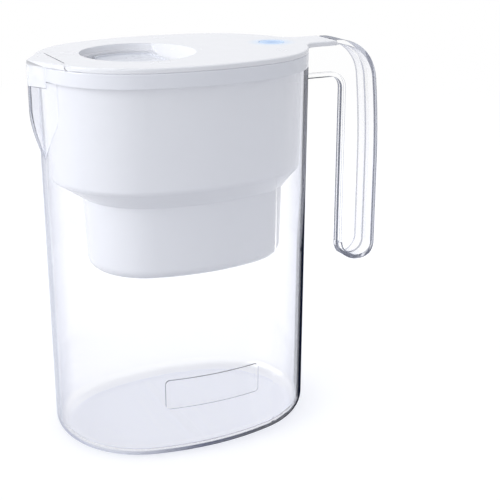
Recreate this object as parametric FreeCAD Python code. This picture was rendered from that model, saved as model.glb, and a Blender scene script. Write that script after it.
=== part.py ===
import FreeCAD, Part
import math
import os
from FreeCAD import Vector

# Water filter pitcher: a clear jug with a hooked handle, a white reservoir that hangs in it, a
# filter cartridge seated in the reservoir's floor, and a lid with a fill flap, a spout flap and a
# lit filter indicator. Sizes in millimetres. The origin is the centre of the jug's flat base,
# +X points to the handle, -X to the spout, and +Z is up.

# Plan of the jug, an oval of four arcs
plan_half_length = 96.0
plan_half_width = 70.0
plan_end_setback = 4.0
wall = 3.0
draft = 1.4
floor_thickness = 3.5
base_radius = 12.0
rim_height = 262.0

# Pouring prow at the spout end of the jug
prow_reach = 8.5
prow_bite = 1.9
prow_tip_radius = 2.5
prow_straight_depth = 22.0
prow_depth = 62.0
prow_lean = 12.0
prow_lean_curve = 1.6
prow_sections = 5
pour_lip_drop = 4.0

# Handle, moulded with the jug
grip_room = 37.3
grip_depth = 27.0
handle_arm = 28.5
handle_length = 160.0
inner_bend_radius = 9.0
outer_bend_radius = 33.3
outer_lean_radius = 620.0
outer_lean_degrees = 6.0
root_radius = 7.0
root_bite = 1.0
web_thickness = 4.0
flange_width = 25.0
flange_thickness = 3.3
bead_width = 6.0
bead_depth = 3.3

# Blank raised panel on the front wall
panel_width = 70.0
panel_height = 21.5
panel_centre_x = -3.5
panel_centre_z = 49.7
panel_rise = 1.0
panel_corner = 3.0

# Collar of the reservoir and plate of the lid, stacked on the rim
collar_height = 9.5
collar_wall = 3.2
collar_flange = 2.6
collar_edge_radius = 0.8
lid_thickness = 3.5
lid_edge_radius = 1.2
lid_lower_edge_radius = 0.8
skirt_depth = 6.2
skirt_wall = 1.8
tab_half_width = 15.0
tab_reach = 25.8
tab_corner_radius = 1.0
neck_radius = 16.0
seam_gap = 0.4

# Reservoir below the collar
reservoir_wall = 2.0
reservoir_gap = 1.2
reservoir_draft = 1.6
tub_depth = 70.0
shoulder_height = 11.5
shoulder_edge_radius = 5.0
shelf_thickness = 2.5
shelf_margin = 2.0

# Filter cup under the reservoir
cup_inset = 23.0
cup_width_share = 0.7
cup_end_setback = 4.0
cup_centre_x = 5.0
cup_wall = 2.0
cup_depth = 53.0
cup_draft = 1.5
cup_radius = 8.0
outlet_spacing = 57.0
outlet_bore_radius = 3.0
outlet_wall = 1.5
outlet_length = 4.0

# Filter cartridge
cartridge_inset_x = 8.0
cartridge_inset_y = 11.5
cartridge_end_setback = 2.5
cartridge_wall = 1.5
cartridge_draft = 1.2
cartridge_radius = 4.0
cup_floor_gap = 3.0
seat_step = 3.2
seat_clearance = 0.6
seal_height = 2.0
seal_inset = 0.8
cap_band = 7.0
deck_drop = 1.8
deck_thickness = 1.6
cap_rim_width = 2.4
screen_thickness = 1.6
media_gap = 0.4
rosette_margin = 7.0
rosette_gap = 1.5
rosette_eye_share = 0.45
rosette_rise = 0.5
rosette_rings = 4
rosette_spokes = 20
slot_length = 2.6
slot_width = 1.1
outlet_rings = 2
outlet_spokes = 12
outlet_eye_share = 0.33
outlet_reach_share = 0.62
grip_arch_margin = 6.5
grip_arch_height_share = 0.79
grip_arch_thickness = 15.0
grip_web = 2.4
scoop_radius = 24.0
scoop_rise = 6.0

# Fill well in the lid, and its flap
well_setback = 69.0
well_radius = 39.7
well_wall = 2.0
well_step = 1.5
well_step_depth = 4.5
well_depth = 10.0
ledge_width = 5.0
ledge_thickness = 2.6
scoop_edge_reach = 23.0
scoop_edge_depth = 11.0
flap_thickness = 2.7
flap_border = 2.5
flap_border_height = 0.9
flap_gap = 0.7
flap_hinge_inset = 4.2
flap_barrel_radius = 1.9
flap_barrel_half_length = 11.5
flap_neck_half_width = 17.0
flap_neck_length = 12.0
flap_pin_radius = 1.0
flap_pin_half_length = 18.5

# Spout flap at the lid's end
spout_hinge_setback = 9.5
spout_barrel_half_length = 22.0
spout_pin_radius = 1.0
spout_pin_length = 5.5
spout_skirt_wall = 1.6
spout_skirt_half_width = 17.0
spout_skirt_tip_radius = 1.0

# Filter indicator in the lid
indicator_setback = 21.0
button_radius = 9.0
button_edge_radius = 0.5
button_flange_radius = 10.2
button_flange_thickness = 1.6
button_stem_radius = 2.4
button_travel = 0.8
housing_radius = 13.2
housing_bore_radius = 11.6
board_ledge = 1.0
board_thickness = 1.2
board_depth = 5.1
switch_side = 6.0
switch_height = 1.6
led_ring_radius = 7.6
led_count = 4
led_length = 2.0
led_width = 1.2
led_height = 0.8
spring_radius = 5.2
spring_wire = 0.5
spring_turns = 2.5
cell_radius = 10.0
cell_thickness = 3.2
contact_thickness = 0.3
contact_gap = 1.8
cover_thickness = 2.0
cover_plug = 1.6
cover_seal_thickness = 0.4
ear_radius = 3.2
ear_offset = 16.4
ear_thickness = 3.0
screw_radius = 1.0
screw_head_radius = 1.9
screw_head_height = 1.3
screw_slot_width = 0.5
screw_bite = 2.4

# Clearances
seat_gap = 0.3
running_gap = 0.06
part_gap = 0.1

# How far a cutting shape stands past what it cuts
over = 1.0

# Plan and heights worked out from the sizes above
plan_end_radius = plan_half_width - plan_end_setback
collar_top = rim_height + collar_height
lid_top = collar_top + lid_thickness
pour_lip = rim_height - pour_lip_drop
prow_tip_x = -plan_half_length - prow_reach
prow_straight = rim_height - prow_straight_depth
prow_bottom = rim_height - prow_depth
tab_end_x = plan_half_length + tab_reach
grip_inner_x = plan_half_length + grip_room
grip_outer_x = grip_inner_x + grip_depth
handle_end_radius = grip_depth / 2
handle_end_x = grip_inner_x + handle_end_radius
handle_end_bottom = rim_height - handle_length
handle_end_z = handle_end_bottom + handle_end_radius
arm_bottom = lid_top - handle_arm
reservoir_inset = wall + reservoir_gap
shoulder_top = rim_height - tub_depth
shelf_top = shoulder_top - shoulder_height
shelf_bottom = shelf_top - shelf_thickness
cup_half_length = plan_half_length - cup_inset
cup_half_width = plan_half_width * cup_width_share
cup_end_radius = cup_half_width - cup_end_setback
cartridge_half_length = cup_half_length - cartridge_inset_x
cartridge_half_width = cup_half_width - cartridge_inset_y
cartridge_end_radius = cartridge_half_width - cartridge_end_setback
cup_bottom = shelf_bottom - cup_depth
cartridge_bottom = cup_bottom + cup_wall + cup_floor_gap
cap_bottom = shelf_top + seal_height
cap_top = cap_bottom + cap_band
deck_top = cap_top - deck_drop
deck_bottom = deck_top - deck_thickness
rosette_room = cartridge_half_length - rosette_margin - grip_arch_thickness / 2 - rosette_gap
rosette_radius = rosette_room / 2
rosette_offset = grip_arch_thickness / 2 + rosette_gap + rosette_radius
grip_arch_half_width = cartridge_half_width - grip_arch_margin
grip_arch_height = grip_arch_half_width * grip_arch_height_share
well_centre_x = -plan_half_length + well_setback
scoop_edge_x = well_centre_x + scoop_edge_reach
well_ledge = lid_top - well_depth
flap_bottom = well_ledge + seat_gap
flap_top = flap_bottom + flap_thickness
flap_radius = well_radius - well_step - flap_gap
flap_hinge_x = well_centre_x - flap_radius + flap_hinge_inset
spout_barrel_radius = (lid_thickness - seat_gap) / 2
spout_hinge_x = -plan_half_length + spout_hinge_setback
spout_hinge_z = lid_top - spout_barrel_radius
spout_room_radius = spout_barrel_radius + seat_gap + part_gap
indicator_x = plan_half_length - indicator_setback
button_flange_top = collar_top - seat_gap
button_flange_bottom = button_flange_top - button_flange_thickness
board_top = collar_top - board_depth
board_bottom = board_top - board_thickness
cell_top = board_bottom - contact_gap
cell_bottom = cell_top - cell_thickness
plug_top = cell_bottom - contact_thickness
cover_top = plug_top - cover_plug
housing_bottom = cover_top + cover_seal_thickness

# Half angle of the prow's V. Its sides would be tangent to the end arc, less a small bite that lets
# them cross it cleanly, and the V ends where its sides are deepest inside the arc.
prow_to_centre = plan_end_radius + prow_reach
prow_half_angle = math.asin(plan_end_radius / prow_to_centre) - math.radians(prow_bite)
prow_back_x = prow_tip_x + prow_to_centre * math.cos(prow_half_angle)**2

UP = Vector(0, 0, 1)
ALONG_Y = Vector(0, 1, 0)


def oval(half_length, half_width, end_radius, z, centre_x=0.0):
    """Closed wire of two end arcs and two long side arcs that meet tangent to each other."""
    reach = half_length - end_radius
    side_radius = (reach**2 + half_width**2 - end_radius**2) / (2 * (half_width - end_radius))
    side_offset = side_radius - half_width
    span = math.hypot(reach, side_offset)
    join_x = reach + end_radius * reach / span
    join_y = end_radius * side_offset / span

    def at(x, y):
        return Vector(centre_x + x, y, z)

    arcs = [
        Part.Arc(at(join_x, -join_y), at(half_length, 0), at(join_x, join_y)),
        Part.Arc(at(join_x, join_y), at(0, half_width), at(-join_x, join_y)),
        Part.Arc(at(-join_x, join_y), at(-half_length, 0), at(-join_x, -join_y)),
        Part.Arc(at(-join_x, -join_y), at(0, -half_width), at(join_x, -join_y)),
    ]
    return Part.Wire([arc.toShape() for arc in arcs])


def jug_oval(inset, z):
    return oval(plan_half_length - inset, plan_half_width - inset, plan_end_radius - inset, z)


def cup_oval(inset, z):
    return oval(cup_half_length - inset, cup_half_width - inset, cup_end_radius - inset, z, cup_centre_x)


def cartridge_oval(inset, z):
    return oval(cartridge_half_length - inset, cartridge_half_width - inset,
                cartridge_end_radius - inset, z, cup_centre_x)


def column(outline, inset_low, z_low, inset_high, z_high):
    """Solid between two heights, whose outline may shrink or grow on the way up."""
    if inset_low == inset_high:
        return Part.Face(outline(inset_low, z_low)).extrude(UP * (z_high - z_low))
    return Part.makeLoft([outline(inset_low, z_low), outline(inset_high, z_high)], True, True)


def ring(outline, inset_out, inset_in, z_low, z_high):
    return column(outline, inset_out, z_low, inset_out, z_high).cut(
        column(outline, inset_in, z_low, inset_in, z_high))


def edges_at(solid, z):
    return [e for e in solid.Edges if abs(e.BoundBox.ZMin - z) < 1e-4 and abs(e.BoundBox.ZMax - z) < 1e-4]


def box(x0, x1, y0, y1, z0, z1):
    return Part.makeBox(x1 - x0, y1 - y0, z1 - z0, Vector(x0, y0, z0))


def cylinder(radius, x, y, z_low, z_high):
    return Part.makeCylinder(radius, z_high - z_low, Vector(x, y, z_low))


def rod(radius, x, z, y_from, y_to):
    """Cylinder along Y."""
    return Part.makeCylinder(radius, y_to - y_from, Vector(x, y_from, z), ALONG_Y)


def jug_draft(z):
    """Inset of the jug's outer face at a height: most at the base, none at the rim."""
    return draft * (1 - z / rim_height)


def side_face(points):
    """Face in the plane y = 0; a point given as a triple (x, z, 'mid') is the middle of an arc."""
    edges = []
    i = 0
    while i < len(points) - 1:
        start = Vector(points[i][0], 0, points[i][1])
        if len(points[i + 1]) == 3:
            middle = Vector(points[i + 1][0], 0, points[i + 1][1])
            end = Vector(points[i + 2][0], 0, points[i + 2][1])
            edges.append(Part.Arc(start, middle, end).toShape())
            i += 2
        else:
            end = Vector(points[i + 1][0], 0, points[i + 1][1])
            edges.append(Part.makeLine(start, end))
            i += 1
    return Part.Face(Part.Wire(edges))


def both_sides(face, width):
    """Extrude a face of the plane y = 0 by half the width to each side."""
    face.translate(Vector(0, -width / 2, 0))
    return face.extrude(ALONG_Y * width)


def arc_middle(centre_x, centre_z, radius, degrees):
    turn = math.radians(degrees)
    return (centre_x + radius * math.cos(turn), centre_z + radius * math.sin(turn), "mid")


# Prow of the spout
def prow_wire(tip_x, back_x, z, tip_radius):
    """V with a rounded tip, closed by a straight back inside the jug."""
    half = prow_half_angle
    half_width = (back_x - tip_x) * math.tan(half)
    centre_x = tip_x + tip_radius / math.sin(half)
    touch_x = centre_x - tip_radius * math.sin(half)
    touch_y = tip_radius * math.cos(half)
    near_back = Vector(back_x, -half_width, z)
    far_back = Vector(back_x, half_width, z)
    near_touch = Vector(touch_x, -touch_y, z)
    far_touch = Vector(touch_x, touch_y, z)
    tip = Part.Arc(near_touch, Vector(centre_x - tip_radius, 0, z), far_touch).toShape()
    return Part.Wire([Part.makeLine(near_back, near_touch), tip,
                      Part.makeLine(far_touch, far_back), Part.makeLine(far_back, near_back)])


def prow_solid(inset, top):
    """Prow from its root to a height; below the straight part its tip leans back into the jug."""
    tip_x = prow_tip_x + inset / math.sin(prow_half_angle)
    back_x = prow_back_x + inset
    tip_radius = max(prow_tip_radius - inset, prow_tip_radius / 4)
    sections = []
    for i in range(prow_sections):
        share = 1 - i / prow_sections
        z = prow_straight - share * (prow_straight - prow_bottom)
        sections.append(prow_wire(tip_x + prow_lean * share**prow_lean_curve, back_x, z, tip_radius))
    sections.append(prow_wire(tip_x, back_x, prow_straight, tip_radius))
    leaning = Part.makeLoft(sections, True, False)
    upright = Part.Face(prow_wire(tip_x, back_x, prow_straight, tip_radius))
    return leaning.fuse(upright.extrude(UP * (top - prow_straight)))


# Clear jug with its handle and blank panel
def outer_edge(inset):
    """Outer edge of the handle drawn in by a distance: the grip leans in on its way up, then bends."""
    turn = math.radians(outer_lean_degrees)
    lean_to_bend = outer_lean_radius - outer_bend_radius
    lean_x = grip_outer_x - outer_lean_radius
    bend_x = lean_x + lean_to_bend * math.cos(turn)
    bend_z = lid_top - outer_bend_radius
    lean_z = bend_z - lean_to_bend * math.sin(turn)
    lean = outer_lean_radius - inset
    return [
        (grip_outer_x - inset, lean_z),
        arc_middle(lean_x, lean_z, lean, outer_lean_degrees / 2),
        (lean_x + lean * math.cos(turn), lean_z + lean * math.sin(turn)),
        arc_middle(bend_x, bend_z, outer_bend_radius - inset, (outer_lean_degrees + 90) / 2),
        (bend_x, lid_top - inset),
    ]


def handle_outline():
    inner_z = arm_bottom - inner_bend_radius
    inner_cx = grip_inner_x - inner_bend_radius
    root_x = plan_half_length - wall
    root_low = arm_bottom - root_radius
    root_arc_x = plan_half_length - root_bite
    return side_face([
        (root_x, root_low),
        (root_arc_x, root_low),
        arc_middle(root_arc_x + root_radius, root_low, root_radius, 135),
        (root_arc_x + root_radius, arm_bottom),
        (inner_cx, arm_bottom),
        arc_middle(inner_cx, inner_z, inner_bend_radius, 45),
        (grip_inner_x, inner_z),
        (grip_inner_x, handle_end_z),
        arc_middle(handle_end_x, handle_end_z, handle_end_radius, 270),
        (grip_outer_x, handle_end_z),
        *outer_edge(0),
        (tab_end_x, lid_top),
        (tab_end_x, collar_top - seam_gap),
        (root_x, collar_top - seam_gap),
        (root_x, root_low),
    ])


def handle_core():
    """What the outer flange leaves free: the outline drawn in by the flange's thickness."""
    bar = side_face([
        (0, handle_end_z),
        (grip_outer_x - flange_thickness, handle_end_z),
        *outer_edge(flange_thickness),
        (0, lid_top - flange_thickness),
        (0, handle_end_z),
    ])
    rounded_end = Part.Face(Part.Wire(Part.makeCircle(
        handle_end_radius - flange_thickness, Vector(handle_end_x, 0, handle_end_z), ALONG_Y)))
    return bar, rounded_end


def end_wedge(side):
    """What narrows the flange round the handle's end, from its full width to the bead's."""
    wide = side * (flange_width / 2 + over)
    near_x = grip_inner_x - over
    far_x = grip_outer_x - flange_thickness
    z = handle_end_bottom - over
    corners = [(near_x, side * bead_width / 2), (far_x, side * flange_width / 2),
               (far_x, wide), (near_x, wide)]
    outline = Part.makePolygon([Vector(x, y, z) for x, y in corners + corners[:1]])
    return Part.Face(outline).extrude(UP * (handle_end_z - z))


def handle():
    """Web with a wide flange on its outer side and a narrow bead on its inner side."""
    width = flange_width + 2 * over
    web = both_sides(handle_outline(), web_thickness)
    bar, rounded_end = handle_core()
    flange = both_sides(handle_outline(), flange_width)
    flange = flange.cut([both_sides(bar, width), both_sides(rounded_end, width),
                         end_wedge(-1), end_wedge(1)])
    inner_band = both_sides(handle_outline(), bead_width)
    bead_x = grip_inner_x + bead_depth
    bead_z = arm_bottom + bead_depth
    bend = inner_bend_radius + bead_depth
    bead_cut = both_sides(side_face([
        (0, bead_z),
        (bead_x - bend, bead_z),
        arc_middle(bead_x - bend, bead_z - bend, bend, 45),
        (bead_x, bead_z - bend),
        (bead_x, handle_end_z),
        (grip_outer_x + over, handle_end_z),
        (grip_outer_x + over, lid_top + over),
        (0, lid_top + over),
        (0, bead_z),
    ]), width)
    below_end = box(0, grip_outer_x + over, -width, width, 0, handle_end_z)
    bead = inner_band.cut(bead_cut).cut(below_end)
    return web.fuse([flange, bead]).removeSplitter()


def panel():
    """Raised blank panel that follows the curve of the front wall."""
    z_low = panel_centre_z - panel_height / 2
    z_high = panel_centre_z + panel_height / 2
    frame = box(panel_centre_x - panel_width / 2, panel_centre_x + panel_width / 2,
                -plan_half_width - panel_rise - over, -plan_half_width / 2, z_low, z_high)
    frame = frame.makeFillet(panel_corner, [
        e for e in frame.Edges if e.BoundBox.YLength > 1 and e.BoundBox.XLength < 1])
    skin = column(jug_oval, jug_draft(z_low) - panel_rise, z_low, jug_draft(z_high) - panel_rise, z_high)
    return skin.common(frame)


def make_jug():
    outer = column(jug_oval, draft, 0, 0, rim_height)
    outer = outer.makeFillet(base_radius, edges_at(outer, 0))
    outer = outer.fuse(prow_solid(0, rim_height))
    past_rim = rim_height + over
    cavity = column(jug_oval, wall + jug_draft(floor_thickness), floor_thickness,
                    wall + jug_draft(past_rim), past_rim)
    cavity = cavity.makeFillet(base_radius - wall, edges_at(cavity, floor_thickness))
    lip_cut = box(prow_tip_x - over, -plan_half_length, -plan_half_width, plan_half_width,
                  pour_lip, past_rim)
    collar_room = column(jug_oval, -seam_gap, rim_height, -seam_gap, lid_top)
    grip = handle().cut(collar_room)
    jug = outer.fuse([grip, panel()])
    return jug.cut([cavity, prow_solid(wall, past_rim), lip_cut]).removeSplitter()


# Reservoir that hangs on the rim, with the shelf for the cartridge
def make_reservoir():
    top_inset = reservoir_inset
    low_inset = reservoir_inset + reservoir_draft
    collar = ring(jug_oval, 0, collar_wall, rim_height, collar_top)
    collar = collar.makeFillet(collar_edge_radius, edges_at(collar, collar_top))
    flange = ring(jug_oval, 0, top_inset + reservoir_wall, rim_height, rim_height + collar_flange)
    tub = column(jug_oval, low_inset, shoulder_top, top_inset, rim_height + collar_flange)
    hollow = column(jug_oval, low_inset + reservoir_wall, shoulder_top,
                    top_inset + reservoir_wall, rim_height + collar_flange)
    shoulder = Part.makeLoft([cup_oval(-shelf_margin, shelf_bottom),
                              jug_oval(low_inset, shoulder_top)], True, True)
    inner_shoulder = Part.makeLoft([cup_oval(reservoir_wall - shelf_margin, shelf_top),
                                    jug_oval(low_inset + reservoir_wall, shoulder_top)], True, True)
    seat = column(cartridge_oval, seat_step - seat_clearance, shelf_bottom,
                  seat_step - seat_clearance, shelf_top)
    outer = tub.fuse(shoulder).removeSplitter()
    outer = outer.makeFillet(shoulder_edge_radius, edges_at(outer, shoulder_top))
    walls = outer.cut([hollow, inner_shoulder, seat])
    return walls.fuse([collar, flange]).removeSplitter()


def make_filter_cup():
    body = column(cup_oval, cup_draft, cup_bottom, 0, shelf_bottom)
    body = body.makeFillet(cup_radius, edges_at(body, cup_bottom))
    floor_z = cup_bottom + cup_wall
    hollow = column(cup_oval, cup_wall + cup_draft, floor_z, cup_wall, shelf_bottom)
    hollow = hollow.makeFillet(cup_radius - cup_wall, edges_at(hollow, floor_z))
    cup = body.cut(hollow)
    for side in (-1, 1):
        x = cup_centre_x + side * outlet_spacing / 2
        spigot = cylinder(outlet_bore_radius + outlet_wall, x, 0, cup_bottom - outlet_length, floor_z)
        bore = cylinder(outlet_bore_radius, x, 0, cup_bottom - outlet_length, floor_z + over)
        cup = cup.fuse(spigot).cut(bore)
    return cup.removeSplitter()


# Filter cartridge
def radial_slots(centre_x, rings, spokes, inner, outer, z_low, z_high):
    """Short radial slots in rings around a centre."""
    slots = []
    for k in range(rings):
        radius = inner + (outer - inner) * k / (rings - 1)
        for j in range(spokes):
            slot = box(radius - slot_length / 2, radius + slot_length / 2,
                       -slot_width / 2, slot_width / 2, z_low, z_high)
            slot.rotate(Vector(0, 0, 0), UP, 360 * (j + 0.5 * (k % 2)) / spokes)
            slot.translate(Vector(centre_x, 0, 0))
            slots.append(slot)
    return slots


def grip_arch():
    """Low arch across the cartridge, scooped on both faces so that fingers can pinch its web."""
    half = grip_arch_thickness / 2
    arch = Part.Ellipse(Vector(0, 0, 0), grip_arch_half_width, grip_arch_height)
    arch_face = Part.Face(Part.Wire(arch.toShape()))
    arch_solid = arch_face.extrude(UP * grip_arch_thickness)
    arch_solid.rotate(Vector(0, 0, 0), Vector(1, 0, 0), 90)
    arch_solid.rotate(Vector(0, 0, 0), UP, 90)
    arch_solid.translate(Vector(cup_centre_x - half, 0, deck_top))
    above = box(cup_centre_x - half - over, cup_centre_x + half + over, -grip_arch_half_width,
                grip_arch_half_width, deck_top, deck_top + grip_arch_height + over)
    arch_solid = arch_solid.common(above)
    for side in (-1, 1):
        centre = Vector(cup_centre_x + side * (scoop_radius + grip_web / 2), 0, deck_top + scoop_rise)
        arch_solid = arch_solid.cut(Part.makeSphere(scoop_radius, centre))
    return arch_solid


def make_cartridge_cap():
    band = ring(cartridge_oval, 0, seat_step - part_gap, cap_bottom, deck_bottom)
    rim = ring(cartridge_oval, 0, cap_rim_width, deck_bottom, cap_top)
    deck = column(cartridge_oval, cap_rim_width / 2, deck_bottom, cap_rim_width / 2, deck_top)
    cap = band.fuse([rim, deck, grip_arch()])
    discs = []
    slots = []
    half = grip_arch_thickness / 2
    for side in (-1, 1):
        x = cup_centre_x + side * rosette_offset
        discs.append(cylinder(rosette_radius, x, 0, deck_top, deck_top + rosette_rise))
        slots += radial_slots(x, rosette_rings, rosette_spokes, rosette_radius * rosette_eye_share,
                              rosette_radius - slot_length, deck_bottom, deck_top + rosette_rise)
    grip_zone = box(cup_centre_x - half, cup_centre_x + half, -grip_arch_half_width,
                    grip_arch_half_width, deck_bottom, cap_top + grip_arch_height)
    slots = Part.makeCompound(slots).cut(grip_zone)
    discs = [d.cut(grip_zone) for d in discs]
    return cap.fuse(discs).cut(slots).removeSplitter()


def make_cartridge_shell():
    low = seat_step + cartridge_draft
    body = column(cartridge_oval, low, cartridge_bottom, seat_step, deck_bottom)
    body = body.makeFillet(cartridge_radius, edges_at(body, cartridge_bottom))
    floor_z = cartridge_bottom + cartridge_wall
    hollow = column(cartridge_oval, low + cartridge_wall, floor_z, seat_step + cartridge_wall, deck_bottom)
    slots = []
    for side in (-1, 1):
        slots += radial_slots(cup_centre_x + side * rosette_offset, outlet_rings, outlet_spokes,
                              rosette_radius * outlet_eye_share, rosette_radius * outlet_reach_share,
                              cartridge_bottom, floor_z)
    return body.cut(hollow).cut(Part.makeCompound(slots))


def cartridge_fill():
    """Seal, felt screens and filter medium, stacked inside the cartridge."""
    inside = seat_step + cartridge_draft + cartridge_wall + media_gap
    floor_z = cartridge_bottom + cartridge_wall
    upper_z = deck_bottom - screen_thickness
    lower_z = floor_z + screen_thickness
    seal = ring(cartridge_oval, seal_inset, seat_step - part_gap, shelf_top, cap_bottom)
    upper = column(cartridge_oval, inside, upper_z, inside, deck_bottom)
    lower = column(cartridge_oval, inside, floor_z, inside, lower_z)
    medium = column(cartridge_oval, inside, lower_z, inside, upper_z)
    return {"cartridge_seal": seal, "upper_screen": upper, "lower_screen": lower, "filter_medium": medium}


# Lid with its fill well, tab and pockets
def lid_plate():
    plate = column(jug_oval, 0, collar_top, 0, lid_top)
    tab = box(plan_half_length - neck_radius, tab_end_x - seam_gap, -tab_half_width, tab_half_width,
              collar_top, lid_top)
    plate = plate.fuse(tab).removeSplitter()
    necks = [e for e in plate.Edges
             if e.BoundBox.ZLength > lid_thickness - 0.01 and e.BoundBox.XLength < 0.01
             and 0 < e.BoundBox.XMin < tab_end_x - 5 and abs(abs(e.BoundBox.YMin) - tab_half_width) < 0.01]
    plate = plate.makeFillet(neck_radius, necks)
    corners = [e for e in plate.Edges
               if e.BoundBox.ZLength > lid_thickness - 0.01 and e.BoundBox.XMin > tab_end_x - over]
    plate = plate.makeFillet(tab_corner_radius, corners)
    plate = plate.makeFillet(lid_edge_radius, edges_at(plate, lid_top))
    return plate.makeFillet(lid_lower_edge_radius, edges_at(plate, collar_top))


def well_body():
    """Tube of the well, down to the underside of the ledge that the flap rests on."""
    return cylinder(well_radius + well_wall, well_centre_x, 0, well_ledge - ledge_thickness,
                    lid_top - lid_edge_radius)


def well_hollow():
    """Everything that is cut out of the well: upper bore, lower bore, inlet, and the dish."""
    step_z = lid_top - well_step_depth
    low_radius = well_radius - well_step
    inlet_radius = low_radius - ledge_width
    far = well_centre_x - well_radius - over
    wide = well_radius + over
    above = lid_top + over
    upper = cylinder(well_radius, well_centre_x, 0, step_z, above)
    lower = cylinder(low_radius, well_centre_x, 0, well_ledge, step_z)
    flap_side = box(far, scoop_edge_x, -wide, wide, 0, above)
    inlet = cylinder(inlet_radius, well_centre_x, 0, 0, well_ledge)
    inlet = inlet.common(box(far, scoop_edge_x - ledge_width, -wide, wide, 0, lid_top))
    edge = scoop_edge_x - well_centre_x
    rise = (well_radius**2 - edge**2 - scoop_edge_depth**2) / (2 * scoop_edge_depth)
    dish = Part.makeSphere(math.hypot(well_radius, rise), Vector(well_centre_x, 0, lid_top + rise))
    dish = dish.common(cylinder(well_radius, well_centre_x, 0, well_ledge, above))
    return [upper.common(flap_side), lower.common(flap_side), inlet, dish]


def make_lid():
    plate = lid_plate()
    skirt_out = collar_wall + seam_gap
    skirt = ring(jug_oval, skirt_out, skirt_out + skirt_wall, collar_top - skirt_depth, collar_top)
    lid = plate.fuse([skirt, well_body()])
    lid = lid.cut(well_hollow())
    pin_gap = flap_pin_radius + running_gap
    pin_hole = rod(pin_gap, flap_hinge_x, flap_top, -flap_pin_half_length - part_gap,
                   flap_pin_half_length + part_gap)
    lid = lid.cut(pin_hole)

    # Room for the spout flap: everything past its hinge line, less two ears that hold its pins
    ear_from = spout_barrel_half_length + seat_gap
    plan = plan_half_width
    beyond = box(prow_tip_x - over, spout_hinge_x, -plan, plan, collar_top, lid_top + over)
    lid = lid.cut(beyond)
    barrel_room = rod(spout_room_radius, spout_hinge_x, spout_hinge_z, -ear_from, ear_from)
    keep = column(jug_oval, 0, collar_top, 0, lid_top)
    ears = rod(spout_barrel_radius, spout_hinge_x, spout_hinge_z, -plan, plan).common(keep)
    lid = lid.fuse(ears).cut(barrel_room)
    reach = spout_barrel_half_length + spout_pin_length + part_gap
    lid = lid.cut(rod(spout_pin_radius + running_gap, spout_hinge_x, spout_hinge_z, -reach, reach))

    # Hole for the indicator's button and blind holes for its screws
    lid = lid.cut(cylinder(button_radius + seat_gap, indicator_x, 0, collar_top - over, lid_top + over))
    for side in (-1, 1):
        lid = lid.cut(cylinder(screw_radius + part_gap, indicator_x, side * ear_offset,
                               collar_top - over, collar_top + screw_bite + part_gap))
    return lid.removeSplitter()


def make_fill_flap():
    """Flap with a raised edge; its hinge end is narrow, so that it clears the round wall as it lifts."""
    free_x = scoop_edge_x - flap_gap
    shoulder_x = flap_hinge_x + flap_neck_length
    room = flap_hinge_x + flap_barrel_radius + seat_gap
    top = flap_top + flap_border_height
    wide = well_radius
    disc = cylinder(flap_radius, well_centre_x, 0, flap_bottom, flap_top)
    plate = disc.common(box(shoulder_x, free_x, -wide, wide, flap_bottom, flap_top))
    neck = disc.common(box(room, shoulder_x, -flap_neck_half_width, flap_neck_half_width,
                           flap_bottom, flap_top))
    border = cylinder(flap_radius, well_centre_x, 0, flap_top, top)
    border = border.common(box(shoulder_x, free_x, -wide, wide, flap_top, top))
    inner = cylinder(flap_radius - flap_border, well_centre_x, 0, flap_top, top)
    border = border.cut(inner.common(box(flap_hinge_x, free_x - flap_border, -wide, wide, flap_top, top)))
    half = flap_barrel_half_length
    tongue = box(flap_hinge_x, room, -half, half, flap_bottom, flap_top)
    barrel = rod(flap_barrel_radius, flap_hinge_x, flap_top, -half, half)
    flap = plate.fuse([neck, border, tongue, barrel])
    bore = rod(flap_pin_radius + running_gap, flap_hinge_x, flap_top, -wide, wide)
    return flap.cut(bore).removeSplitter()


def make_fill_flap_pin():
    return rod(flap_pin_radius, flap_hinge_x, flap_top, -flap_pin_half_length, flap_pin_half_length)


def make_spout_flap():
    """Cover over the prow, with a V skirt that stands on the pouring lip."""
    plan = plan_half_width
    plate_low = collar_top + seat_gap
    wedge = Part.Face(prow_wire(prow_tip_x, prow_back_x, plate_low, prow_tip_radius)).extrude(
        UP * (lid_top - plate_low))
    plate = column(jug_oval, 0, plate_low, 0, lid_top).fuse(wedge)
    ahead_of_hinge = box(prow_tip_x - over, spout_hinge_x, -plan, plan, plate_low, lid_top)
    plate = plate.common(ahead_of_hinge).removeSplitter()
    for y_from, y_to in ((-plan, -spout_barrel_half_length), (spout_barrel_half_length, plan)):
        plate = plate.cut(rod(spout_room_radius, spout_hinge_x, spout_hinge_z, y_from, y_to))
    barrel = rod(spout_barrel_radius, spout_hinge_x, spout_hinge_z,
                 -spout_barrel_half_length, spout_barrel_half_length)
    reach = spout_barrel_half_length + spout_pin_length
    pins = rod(spout_pin_radius, spout_hinge_x, spout_hinge_z, -reach, reach)
    low = pour_lip + seat_gap
    inner_tip = prow_tip_x + spout_skirt_wall / math.sin(prow_half_angle)
    shell = Part.Face(prow_wire(prow_tip_x, prow_back_x, low, prow_tip_radius)).extrude(
        UP * (plate_low - low))
    room = Part.Face(prow_wire(inner_tip, prow_back_x + over, low, spout_skirt_tip_radius)).extrude(
        UP * (plate_low - low))
    collar = column(jug_oval, -seam_gap, low, -seam_gap, plate_low)
    half = spout_skirt_half_width
    ahead = box(prow_tip_x - over, -plan_half_length - seat_gap, -half, half, low, plate_low)
    skirt = shell.cut(room).cut(collar).common(ahead)
    return plate.fuse([barrel, pins, skirt]).removeSplitter()


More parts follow.
